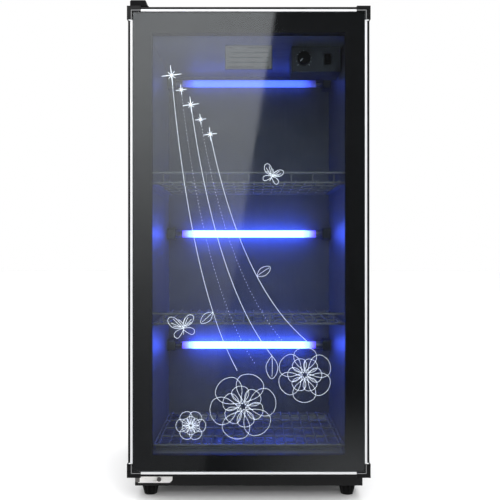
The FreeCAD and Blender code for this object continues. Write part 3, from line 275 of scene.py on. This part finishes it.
def lamp_glow(name):
    """A lit ultraviolet tube: white-blue along its middle, deep violet towards its blackened ends."""
    look = Look(name, (0.5, 0.6, 1.0), 0.15)
    split = look.add("ShaderNodeSeparateXYZ")
    look.link(look.place, split.inputs["Vector"])
    reach = max(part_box("lamp_tubes")[1].x, 0.01)
    along = look.maths("DIVIDE", look.maths("ABSOLUTE", split.outputs["X"]), reach)
    ends = look.between(along, 0.0, 1.0, 0.8, 1.0)
    look.link(look.mixed(ends, (0.05, 0.11, 1.0), (0.02, 0.0, 0.25)), look.shader.inputs["Emission Color"])
    flicker = look.between(look.noise(25, 3, (1.0, 0.2, 0.2)), LAMP_POWER * 0.9, LAMP_POWER * 1.1)
    dimmed = look.maths("MULTIPLY", flicker, look.between(along, 1.0, 0.25, 0.8, 1.0))
    # The upper tube runs at a fraction of the others' brightness.
    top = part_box("lamp_tubes")[1].z
    upper = look.between(split.outputs["Z"], 1.0, UPPER_LAMP, top - 0.1, top - 0.05)
    look.link(look.maths("MULTIPLY", dimmed, upper), look.shader.inputs["Emission Strength"])
    return look.bumps(look.noise(300, 2), 0.00002, 0.2).material


def glass_wool(name):
    """Yellow glass wool, matted from long fibres."""
    look = Look(name, (0.72, 0.62, 0.25), 0.95)
    fibres = look.noise(1.0, 8, (260, 60, 500))
    look.tint(look.between(fibres, 0.0, 1.0), (0.9, 0.84, 0.5))
    return look.bumps(fibres, 0.0012, 0.9).material


LABEL_ROWS = 5.0


def label_film(name):
    """A blank notice: silver film with a dark printed frame and plain dark bars where words would be."""
    look = Look(name, (0.075, 0.077, 0.081), 0.4)
    low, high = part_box("notice_label")
    split = look.add("ShaderNodeSeparateXYZ")
    look.link(look.place, split.inputs["Vector"])
    across = look.between(split.outputs["X"], 0.0, 1.0, low.x, high.x)
    up = look.between(split.outputs["Z"], 0.0, 1.0, low.z, high.z)
    row = look.maths("FRACT", look.maths("MULTIPLY", up, LABEL_ROWS))

    def off_middle(share):
        return look.maths("ABSOLUTE", look.maths("SUBTRACT", share, 0.5))

    bar = look.maths("MULTIPLY", look.maths("GREATER_THAN", row, 0.38), look.maths("LESS_THAN", row, 0.62))
    inside = look.maths("LESS_THAN", off_middle(across), 0.42)
    ragged = look.maths("LESS_THAN", look.noise(1.0, 1, (55, 1, 260)), 0.57)
    words = look.maths("MULTIPLY", look.maths("MULTIPLY", bar, inside), ragged)
    rims = [look.maths("GREATER_THAN", off_middle(share), limit)
            for share, limit in ((across, 0.487), (up, 0.475))]
    look.tint(look.maths("MAXIMUM", words, look.maths("MAXIMUM", *rims)), (0.004, 0.004, 0.005))
    look.rough(look.between(look.noise(50, 3), 0.3, 0.5))
    return look.bumps(look.noise(500, 2), 0.00002, 0.3).material


def white_ink_painted_glow(name):
    """Screen-printed ink on the glass: bright, with pinholes, an uneven lay and a painted blue-white glow.
    """
    look = Look(name, (0.95, 0.95, 0.96), 0.45)
    look.tint(look.between(look.noise(420, 4), 0.0, 0.5, 0.5, 0.8), (0.7, 0.72, 0.75))
    look.rough(look.between(look.noise(120, 3), 0.35, 0.55))
    # Painted glow: the ink gives off a faint blue-white light of its own.
    look.shader.inputs["Emission Color"].default_value = (0.8, 0.88, 1.0, 1.0)
    look.shader.inputs["Emission Strength"].default_value = 0.55
    return look.bumps(look.noise(900, 2), 0.00004, 0.4).material


# ---------------------------------------------------------------- materials on the CAD nodes

ALONG_X, ALONG_Z = (12, 700, 900), (900, 700, 12)

LOOKS = {
    powder_coat("black_powder_coat", (0.006, 0.006, 0.007), 0.4, (0.05, 0.05, 0.053)): (
        "base_pan", "left_side_panel", "right_side_panel", "top_panel", "top_hinge_bracket"),
    powder_coat("rear_powder_coat", (0.014, 0.014, 0.015), 0.5, (0.08, 0.08, 0.08)): (
        "rear_panel", "foot_blocks"),
    powder_coat("shelf_wire_coat", (0.17, 0.17, 0.18), 0.28, (0.4, 0.4, 0.41)): (
        "upper_shelf_deck", "upper_shelf_fence", "middle_shelf_deck", "middle_shelf_fence", "bottom_rack"),
    brushed_metal("liner_aluminium", (0.2, 0.205, 0.22), 0.42, ALONG_Z, 0.4): (
        "liner_side_walls", "liner_back_wall", "shelf_rails"),
    brushed_metal("liner_aluminium_flat", (0.2, 0.205, 0.22), 0.42, ALONG_X, 0.4): (
        "liner_ceiling", "liner_floor"),
    brushed_metal("black_anodised_upright", (0.008, 0.008, 0.009), 0.32, ALONG_Z, 0.3): (
        "door_frame_left", "door_frame_right"),
    brushed_metal("black_anodised_level", (0.008, 0.008, 0.009), 0.32, ALONG_X, 0.3): (
        "door_frame_top", "door_frame_bottom"),
    brushed_metal("bright_trim_upright", (0.82, 0.83, 0.84), 0.36, ALONG_Z, 0.4, 0.12): (
        "side_trim_strips",),
    brushed_metal("bright_trim_level", (0.82, 0.83, 0.84), 0.36, ALONG_X, 0.4, 0.12): (
        "end_trim_strips",),
    brushed_metal("dull_trim", (0.26, 0.265, 0.27), 0.45, ALONG_X, 0.4, 0.15): ("corner_cap_inlays",),
    brushed_metal("stainless", (0.62, 0.62, 0.63), 0.28, ALONG_X): (
        "drip_tray", "heating_element", "heater_clips", "lamp_end_caps", "gasket_magnets"),
    plated_metal("nickel_plate", (0.95, 0.94, 0.92), 0.3, 0.12): (
        "rear_panel_screws", "bottom_hinge_bracket"),
    plated_metal("dark_zinc_plate", (0.16, 0.155, 0.15), 0.3): ("hinge_screws", "hinge_pins"),
    moulded_plastic("black_moulding", (0.004, 0.004, 0.0045), 0.48): (
        "front_frame", "glass_spacer", "top_hinge_cover", "hinge_bushes", "power_inlet", "thermostat_knob",
        "foot_front_left", "foot_front_right", "foot_rear_left", "foot_rear_right"),
    moulded_plastic("grey_moulding", (0.07, 0.075, 0.085), 0.45): ("lamp_holders", "control_box"),
    moulded_plastic("pale_moulding", (0.6, 0.59, 0.54), 0.5): ("lamp_ballasts", "terminal_block"),
    gloss_plastic("polished_black", (0.004, 0.004, 0.0045), 0.26): (
        "top_corner_caps", "bottom_corner_caps", "power_rocker"),
    door_glass("outer_door_glass", (0.9, 0.92, 0.93), 0.004, 0.053): ("outer_glass",),
    door_glass("inner_door_glass", (0.93, 0.95, 0.955), 0.004, 0.01): ("inner_glass",),
    enamel_print("fired_enamel"): ("printed_border",),
    soft_rubber("seal_rubber"): ("door_gasket",),
    lamp_glow("ultraviolet_lamp"): ("lamp_tubes",),
    glass_wool("glass_wool"): (
        "insulation_sides", "insulation_top", "insulation_bottom", "insulation_back"),
    label_film("blank_label_film"): ("notice_label",),
}

for material, names in LOOKS.items():
    for name in names:
        nodes[name].data.materials.clear()
        nodes[name].data.materials.append(material)

# Width in metres of the small round put on each node's sharp edges.
EDGE_ROUNDS = {
    0.0010: ("top_hinge_cover", "control_box", "left_side_panel", "right_side_panel", "base_pan",
             "front_frame"),
    0.0007: ("top_corner_caps", "bottom_corner_caps", "bottom_hinge_bracket", "top_hinge_bracket",
             "lamp_ballasts", "terminal_block", "power_inlet", "door_frame_left", "door_frame_right",
             "door_frame_top", "door_frame_bottom", "side_trim_strips", "end_trim_strips", "outer_glass"),
    0.0004: ("thermostat_knob", "power_rocker", "hinge_screws", "rear_panel_screws", "hinge_pins",
             "lamp_holders", "lamp_end_caps", "foot_front_left", "foot_front_right", "foot_rear_left",
             "foot_rear_right", "shelf_rails"),
    0.0020: ("door_gasket",),
}
# Faces closer than WELD metres join, and edges sharper than SHARP degrees are rounded.
WELD, SHARP = 0.00001, 40


def round_edges(node, width):
    """Welds a node's split faces together, then rounds its sharp edges a little."""
    weld = node.modifiers.new("weld", "WELD")
    weld.merge_threshold = WELD
    bevel = node.modifiers.new("edge_round", "BEVEL")
    bevel.width = width
    bevel.segments = 2
    bevel.limit_method = "ANGLE"
    bevel.angle_limit = math.radians(SHARP)
    bevel.harden_normals = True


for width, names in EDGE_ROUNDS.items():
    for name in names:
        round_edges(nodes[name], width)


# ---------------------------------------------------------------- the art printed on the glass

glass_low, glass_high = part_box("outer_glass")
hole_low, hole_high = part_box("glass_spacer")
WINDOW_INSET_X, WINDOW_INSET_Z = 0.0125, 0.013
window_low = Vector((hole_low.x + WINDOW_INSET_X, 0, hole_low.z + WINDOW_INSET_Z))
window_high = Vector((hole_high.x - WINDOW_INSET_X, 0, hole_high.z - WINDOW_INSET_Z))
LINE = 0.00042
INK_Y = glass_high.y + 1.3 * LINE
# The printed ink carries a painted glow.
ink = white_ink_painted_glow("screen_print_painted_glow")


def on_glass(u, v):
    """A point of the clear window: u across it and v up it, each from 0 to 1."""
    return Vector((window_low.x + u * (window_high.x - window_low.x), INK_Y,
                   window_low.z + v * (window_high.z - window_low.z)))


def tube_curve(name, strokes, width, rounds, steps, material):
    """A round-sectioned curve from several strokes, each a list of points and whether it closes."""
    curve = bpy.data.curves.new(name, "CURVE")
    curve.dimensions = "3D"
    curve.bevel_depth = width
    curve.bevel_resolution = rounds
    curve.resolution_u = steps
    for points, closed in strokes:
        spline = curve.splines.new("NURBS")
        spline.points.add(len(points) - 1)
        for point, place in zip(spline.points, points):
            point.co = (*place, 1.0)
        spline.order_u = 3
        spline.use_cyclic_u = closed
        spline.use_endpoint_u = not closed
    curve.materials.append(material)
    return curve


def drawing(name, strokes, width=LINE):
    """Strokes of ink on the door's glass, as one piece."""
    curve = tube_curve(name, strokes, width, 1, 10, ink)
    piece = bpy.data.objects.new(name, curve)
    scene.collection.objects.link(piece)
    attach(piece, "door")


def shape_at(u, v, size, lean=0.0):
    """A function that places points of a little drawing, sized and leant, on the glass."""
    middle = on_glass(u, v)
    turn_x, turn_z = math.cos(lean) * size, math.sin(lean) * size
    return lambda x, z: middle + Vector((x * turn_x - z * turn_z, 0, x * turn_z + z * turn_x))


def blossom(u, v, size, turn, petals=6):
    """A plain open flower: two rings of like round petals about its heart, with a stamen up each."""
    strokes = []
    for offset, reach in ((0.0, 1.0), (0.5, 0.62)):
        for number in range(petals):
            at = shape_at(u, v, size * reach, turn + math.tau * (number + offset) / petals)
            strokes.append(([at(0.14, 0), at(0.4, -0.4), at(0.85, -0.46), at(1.05, -0.16),
                             at(1.05, 0.16), at(0.85, 0.46), at(0.4, 0.4), at(0.14, 0)], False))
            strokes.append(([at(0.16, 0), at(0.34, 0.03), at(0.55, 0)], False))
    return strokes


def leaf(u, v, size, lean):
    """A plain pointed leaf with its middle vein."""
    at = shape_at(u, v, size, lean)
    return [([at(0, 0), at(0.3, 0.26), at(0.7, 0.22), at(1, 0), at(0.7, -0.22), at(0.3, -0.26),
              at(0, 0)], False),
            ([at(0, 0), at(0.45, 0.03), at(0.85, 0)], False)]


# A twinkle's rays, how far they are turned, and its short rays and knot as shares of its size.
RAYS, RAY_TURN, SHORT_RAY, KNOT = 8, 0.12, 0.48, 0.1


def sparkle(u, v, size):
    """A twinkle: a fine cross of rays, shorter rays between them, and a bright knot in the middle."""
    strokes = []
    for number in range(RAYS):
        length = size if number % 2 == 0 else size * SHORT_RAY
        at = shape_at(u, v, length, math.tau * number / RAYS + RAY_TURN)
        strokes.append(([at(0, -0.035), at(0.3, -0.02), at(1, 0), at(0.3, 0.02), at(0, 0.035)], False))
    at = shape_at(u, v, size * KNOT)
    strokes.append(([at(1, 0), at(0, 1), at(-1, 0), at(0, -1)], True))
    return strokes


def butterfly(u, v, size, lean):
    """A resting butterfly: two raised wings with veins, two small ones, a body and feelers."""
    at = shape_at(u, v, size, lean)
    strokes = [([at(-0.1, -0.5), at(0.0, -0.2), at(0.02, 0.1), at(0.1, 0.35)], False)]
    for side, lift in ((-1, 1.0), (1, 0.82)):
        strokes.append(([at(0, 0.1), at(side * 0.2, 0.8 * lift), at(side * 0.75, 1.25 * lift),
                         at(side * 1.15, 1.0 * lift), at(side * 0.95, 0.35), at(side * 0.5, 0.1),
                         at(0, 0.05)], False))
        strokes.append(([at(0, 0), at(side * 0.55, 0.0), at(side * 0.95, -0.35), at(side * 0.7, -0.75),
                         at(side * 0.3, -0.5), at(0, -0.1)], False))
        for far, high in ((0.6, 0.95), (0.85, 0.7), (0.75, 0.4)):
            strokes.append(([at(side * 0.1, 0.15), at(side * far * 0.6, high * lift * 0.55),
                             at(side * far, high * lift)], False))
        strokes.append(([at(0.1, 0.35), at(0.1 + side * 0.1, 0.65), at(0.1 + side * 0.3, 0.8)], False))
    return strokes


def bent(start, bend, end, steps=14):
    """Shares of the window along one plain curve from start to end, pulled towards bend."""
    points = []
    for step in range(steps + 1):
        share = step / steps
        points.append([(1 - share) ** 2 * first + 2 * share * (1 - share) * middle + share ** 2 * last
                       for first, middle, last in zip(start, bend, end)])
    return points


def stem(number):
    """One of a family of nested curves that fall from the upper left to the flowers."""
    return bent((0.1 + 0.1 * number, 0.9 - 0.07 * number), (0.2 + 0.13 * number, 0.4),
                (0.44 + 0.18 * number, 0.2 + 0.035 * number))


STEMS = [stem(number) for number in (0, 1, 2)]
DOTTED = [stem(number) for number in (0.5, 1.5)]
TWINKLES = ((0, 0.022), (0.5, 0.012), (1, 0.018), (1.5, 0.012), (2, 0.015))

drawing("glass_art_stems", [([on_glass(u, v) for u, v in route], False) for route in STEMS])
drawing("glass_art_flowers",
        blossom(0.47, 0.115, 0.058, 0.2) + blossom(0.79, 0.19, 0.048, 0.5) + blossom(0.2, 0.07, 0.026, 0.0)
        + leaf(*stem(0)[10], 0.032, -2.4) + leaf(*stem(1)[-1], 0.045, -1.57) + leaf(*stem(2)[8], 0.032, 0.6),
        LINE * 0.85)
drawing("glass_art_butterflies", butterfly(0.16, 0.3, 0.022, 0.25) + butterfly(0.62, 0.66, 0.017, -0.3))
drawing("glass_art_sparkles",
        [stroke for number, size in TWINKLES for stroke in sparkle(*stem(number)[0], size)])


def dotted_line(name, routes, gap, radius):
    """Beads of ink at an even gap along straight runs between each route's points."""
    beads = []
    behind = Vector((0, glass_high.y + 1.05 * radius - INK_Y, 0))
    half = Vector((radius * 0.5, 0, 0))
    for route in routes:
        corners = [on_glass(u, v) + behind for u, v in route]
        along = 0.0
        for start, end in zip(corners, corners[1:]):
            run = (end - start).length
            while along < run:
                centre = start.lerp(end, along / run)
                beads.append(([centre - half, centre, centre + half], False))
                along += gap
            along -= run
    drawing(name, beads, radius)


BEAD_GAP, BEAD_RADIUS = 0.0062, LINE * 1.8
dotted_line("glass_art_dots", DOTTED, BEAD_GAP, BEAD_RADIUS)


# ---------------------------------------------------------------- small trim and dial marks

def wire_piece(name, strokes, width, material, body):
    """Thin round wires through lists of points, as one piece."""
    curve = tube_curve(name, [(points, False) for points in strokes], width, 3, 12, material)
    curve.use_fill_caps = True
    piece = bpy.data.objects.new(name, curve)
    scene.collection.objects.link(piece)
    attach(piece, body)


# How far the trims' hooks stop short of the cabinet's side, their stem's inset, length and wire radius.
CURL_EDGE, CURL_INSET, CURL_RUN, CURL_WIRE = 0.0033, 0.0021, 0.003, 0.0011


def make_trim_curls():
    """Each side strip's end is rolled outwards into a small hook, just short of the corner cap."""
    low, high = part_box("side_trim_strips")
    edge = cad_high.x - CURL_EDGE
    wire = CURL_WIRE
    bright = brushed_metal("curl_metal", (0.85, 0.86, 0.87), 0.3, ALONG_X, 0.4, 0.1)
    strokes = []
    for side in (-1, 1):
        inner = side * (high.x - CURL_INSET)
        for end, away in ((high.z, 1), (low.z, -1)):
            level = end - away * wire
            front = cad_low.y + wire
            outer = side * edge
            strokes.append([Vector((inner, front, level - away * CURL_RUN)), Vector((inner, front, level)),
                            Vector((outer, front, level)), Vector((outer, front + wire, level))])
    wire_piece("trim_end_curls", strokes, wire, bright, "door")


# The dial's scale: its ticks, where it starts and how far it goes in degrees, and its sizes in metres.
DIAL_TICKS, DIAL_START, DIAL_SWEEP, LONG_EVERY = 11, 225, 270, 5
TICK_GAP, TICK_SHORT, TICK_LONG, TICK_WIDTH = 0.0016, 0.0016, 0.003, 0.0002
# The pointer's start and end as shares of the dial's radius, and its width against a tick's.
POINTER_START, POINTER_END, POINTER_WIDTH = 0.3, 0.88, 1.6


def dial_ray(degrees):
    """A unit step across the dial's face at an angle."""
    angle = math.radians(degrees)
    return Vector((math.cos(angle), 0, math.sin(angle)))


def make_dial_marks():
    """White scale ticks round the thermostat dial, and a pointer line on the dial itself."""
    low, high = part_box("thermostat_knob")
    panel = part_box("control_box")[0].y
    middle = (low + high) / 2
    radius = (high.x - low.x) / 2
    # The dial's white paint carries the same painted glow.
    paint = white_ink_painted_glow("dial_paint_painted_glow")
    heart = Vector((middle.x, panel, middle.z))
    ticks = []
    for number in range(DIAL_TICKS):
        ray = dial_ray(DIAL_START - DIAL_SWEEP * number / (DIAL_TICKS - 1))
        reach = TICK_LONG if number % LONG_EVERY == 0 else TICK_SHORT
        ticks.append([heart + ray * (radius + TICK_GAP), heart + ray * (radius + TICK_GAP + reach)])
    wire_piece("dial_scale", ticks, TICK_WIDTH, paint, "cabinet")
    ray = dial_ray(DIAL_START) * radius
    face = Vector((middle.x, low.y, middle.z))
    wire_piece("dial_pointer", [[face + ray * POINTER_START, face + ray * POINTER_END]],
               TICK_WIDTH * POINTER_WIDTH, paint, "thermostat_dial")


make_trim_curls()
make_dial_marks()


# ---------------------------------------------------------------- floor, light and camera

# Half the floor's width in metres, and how much it shines.
FLOOR_HALF, FLOOR_SHEEN = 14.0, 0.08
# The world's strength as matt surfaces see it.
SKY = 1.2
# The line the soft box ends at, as the glass mirrors it: its lean and where it crosses the lens's level.
SOFTBOX_LEAN, SOFTBOX_FOOT = 0.154, -0.016
# The soft box is dim at its foot and bright at its top, and falls off by a power in between.
SOFTBOX_LOW, SOFTBOX_HIGH, SOFTBOX_FALL = 0.1, 1.55, 2.0
# How steeply the mirrored view rises to the door's top or drops to its foot.
DOOR_SLOPE = 0.36
CORNER_GLOW = 0.45
STUDIO_DARK, STUDIO_BRIGHT = 0.04, 0.5
# The camera's distance from the glass, height and sideways offset in metres, and its lens in millimetres.
CAMERA_DISTANCE, CAMERA_HEIGHT, CAMERA_OFFSET = 1.25, 0.468, 0.0023
CAMERA_LENS = 49.4


def make_floor():
    """A wide pale floor at the cabinet's feet."""
    mesh = bpy.data.meshes.new("floor")
    corners = [(x * FLOOR_HALF, y * FLOOR_HALF, 0) for x, y in ((-1, -1), (1, -1), (1, 1), (-1, 1))]
    mesh.from_pydata(corners, [], [(0, 1, 2, 3)])
    floor = bpy.data.objects.new("floor", mesh)
    scene.collection.objects.link(floor)
    look = Look("studio_floor", (0.9, 0.9, 0.905), 0.55)
    look.tint(look.between(look.noise(1.5, 3), 0.0, 0.3), (0.87, 0.87, 0.88))
    look.rough(look.between(look.noise(3, 3), 0.5, 0.65))
    look.shader.inputs["Specular IOR Level"].default_value = FLOOR_SHEEN
    mesh.materials.append(look.bumps(look.noise(200, 2), 0.0001, 0.2).material)
    floor.visible_glossy = False


def add_area(name, place, target, size, power):
    """A white soft light aimed at a target, left out of mirrored views."""
    data = bpy.data.lights.new(name, "AREA")
    data.shape = "RECTANGLE"
    data.size, data.size_y = size
    data.energy = power
    light = bpy.data.objects.new(name, data)
    light.location = place
    light.rotation_mode = "QUATERNION"
    light.rotation_quaternion = (Vector(target) - Vector(place)).to_track_quat("-Z", "Y")
    light.visible_glossy = False
    scene.collection.objects.link(light)


def smooth(tools, value, start, end, low, high):
    """Eases from low to high as a value goes from start to end."""
    return tools.between(value, low, high, start, end, interpolation_type="SMOOTHSTEP")


def soft_box(tools, x, y, z):
    """The tall soft box in front of the cabinet, with a slanted edge, and a faint glow low on the right."""
    ahead = tools.maths("MAXIMUM", tools.maths("MULTIPLY", y, -1.0), 0.05)
    across, up = tools.maths("DIVIDE", x, ahead), tools.maths("DIVIDE", z, ahead)
    # It fills what the glass mirrors left of a line that leans back to the right as it rises.
    edge = tools.maths("ADD", tools.maths("MULTIPLY", up, SOFTBOX_LEAN), SOFTBOX_FOOT)
    inside = smooth(tools, tools.maths("SUBTRACT", edge, across), -0.002, 0.004, 0.0, 1.0)
    rise = tools.maths("POWER", smooth(tools, up, -DOOR_SLOPE, DOOR_SLOPE, 0.0, 1.0), SOFTBOX_FALL)
    fade = tools.maths("ADD", tools.maths("MULTIPLY", rise, SOFTBOX_HIGH - SOFTBOX_LOW), SOFTBOX_LOW)
    facing = smooth(tools, y, -0.5, -0.75, 0.0, 1.0)
    corner = tools.maths("MULTIPLY", smooth(tools, up, -0.2, -DOOR_SLOPE, 0.0, CORNER_GLOW),
                         smooth(tools, across, -0.06, 0.16, 0.0, 1.0))
    lit = tools.maths("ADD", tools.maths("MULTIPLY", inside, fade), corner)
    return tools.maths("MULTIPLY", lit, facing)


def make_world():
    """White to the eye and to matt surfaces; to gloss, a dim studio with one tall soft box."""
    world = bpy.data.worlds.new("studio")
    world.use_nodes = True
    scene.world = world
    world.node_tree.nodes.clear()
    tools = NodeTools(world.node_tree)
    split = tools.add("ShaderNodeSeparateXYZ")
    tools.link(tools.add("ShaderNodeTexCoord").outputs["Generated"], split.inputs["Vector"])
    x, y, z = (split.outputs[letter] for letter in "XYZ")
    surround = smooth(tools, y, -0.95, -0.2, STUDIO_DARK, STUDIO_BRIGHT)
    gloss = tools.maths("ADD", soft_box(tools, x, y, z), surround)
    path = tools.add("ShaderNodeLightPath")
    level = tools.add("ShaderNodeMix", data_type="FLOAT")
    tools.link(path.outputs["Is Glossy Ray"], level.inputs["Factor"])
    level.inputs[2].default_value = SKY
    tools.link(gloss, level.inputs[3])
    seen = tools.add("ShaderNodeMix", data_type="FLOAT")
    tools.link(path.outputs["Is Camera Ray"], seen.inputs["Factor"])
    tools.link(level.outputs[0], seen.inputs[2])
    seen.inputs[3].default_value = 1.0
    background = tools.add("ShaderNodeBackground")
    background.inputs["Color"].default_value = (1, 1, 1, 1)
    tools.link(seen.outputs[0], background.inputs["Strength"])
    tools.link(background.outputs["Background"], tools.add("ShaderNodeOutputWorld").inputs["Surface"])


def make_camera():
    """Level and square to the door, a little right of its middle."""
    data = bpy.data.cameras.new("camera")
    data.sensor_width = 36.0
    data.lens = CAMERA_LENS
    camera = bpy.data.objects.new("camera", data)
    camera.location = (CAMERA_OFFSET, glass_low.y - CAMERA_DISTANCE, CAMERA_HEIGHT)
    camera.rotation_euler = (math.radians(90), 0, 0)
    scene.collection.objects.link(camera)
    scene.camera = camera


make_floor()
make_world()
add_area("overhead", (0.0, -0.6, 3.2), (0, 0, 0.3), (3.2, 2.4), 42)
add_area("front_fill", (0.5, -2.9, 2.6), (0, 0, 0.5), (1.6, 1.6), 64)
make_camera()
scene.view_settings.view_transform = "Standard"
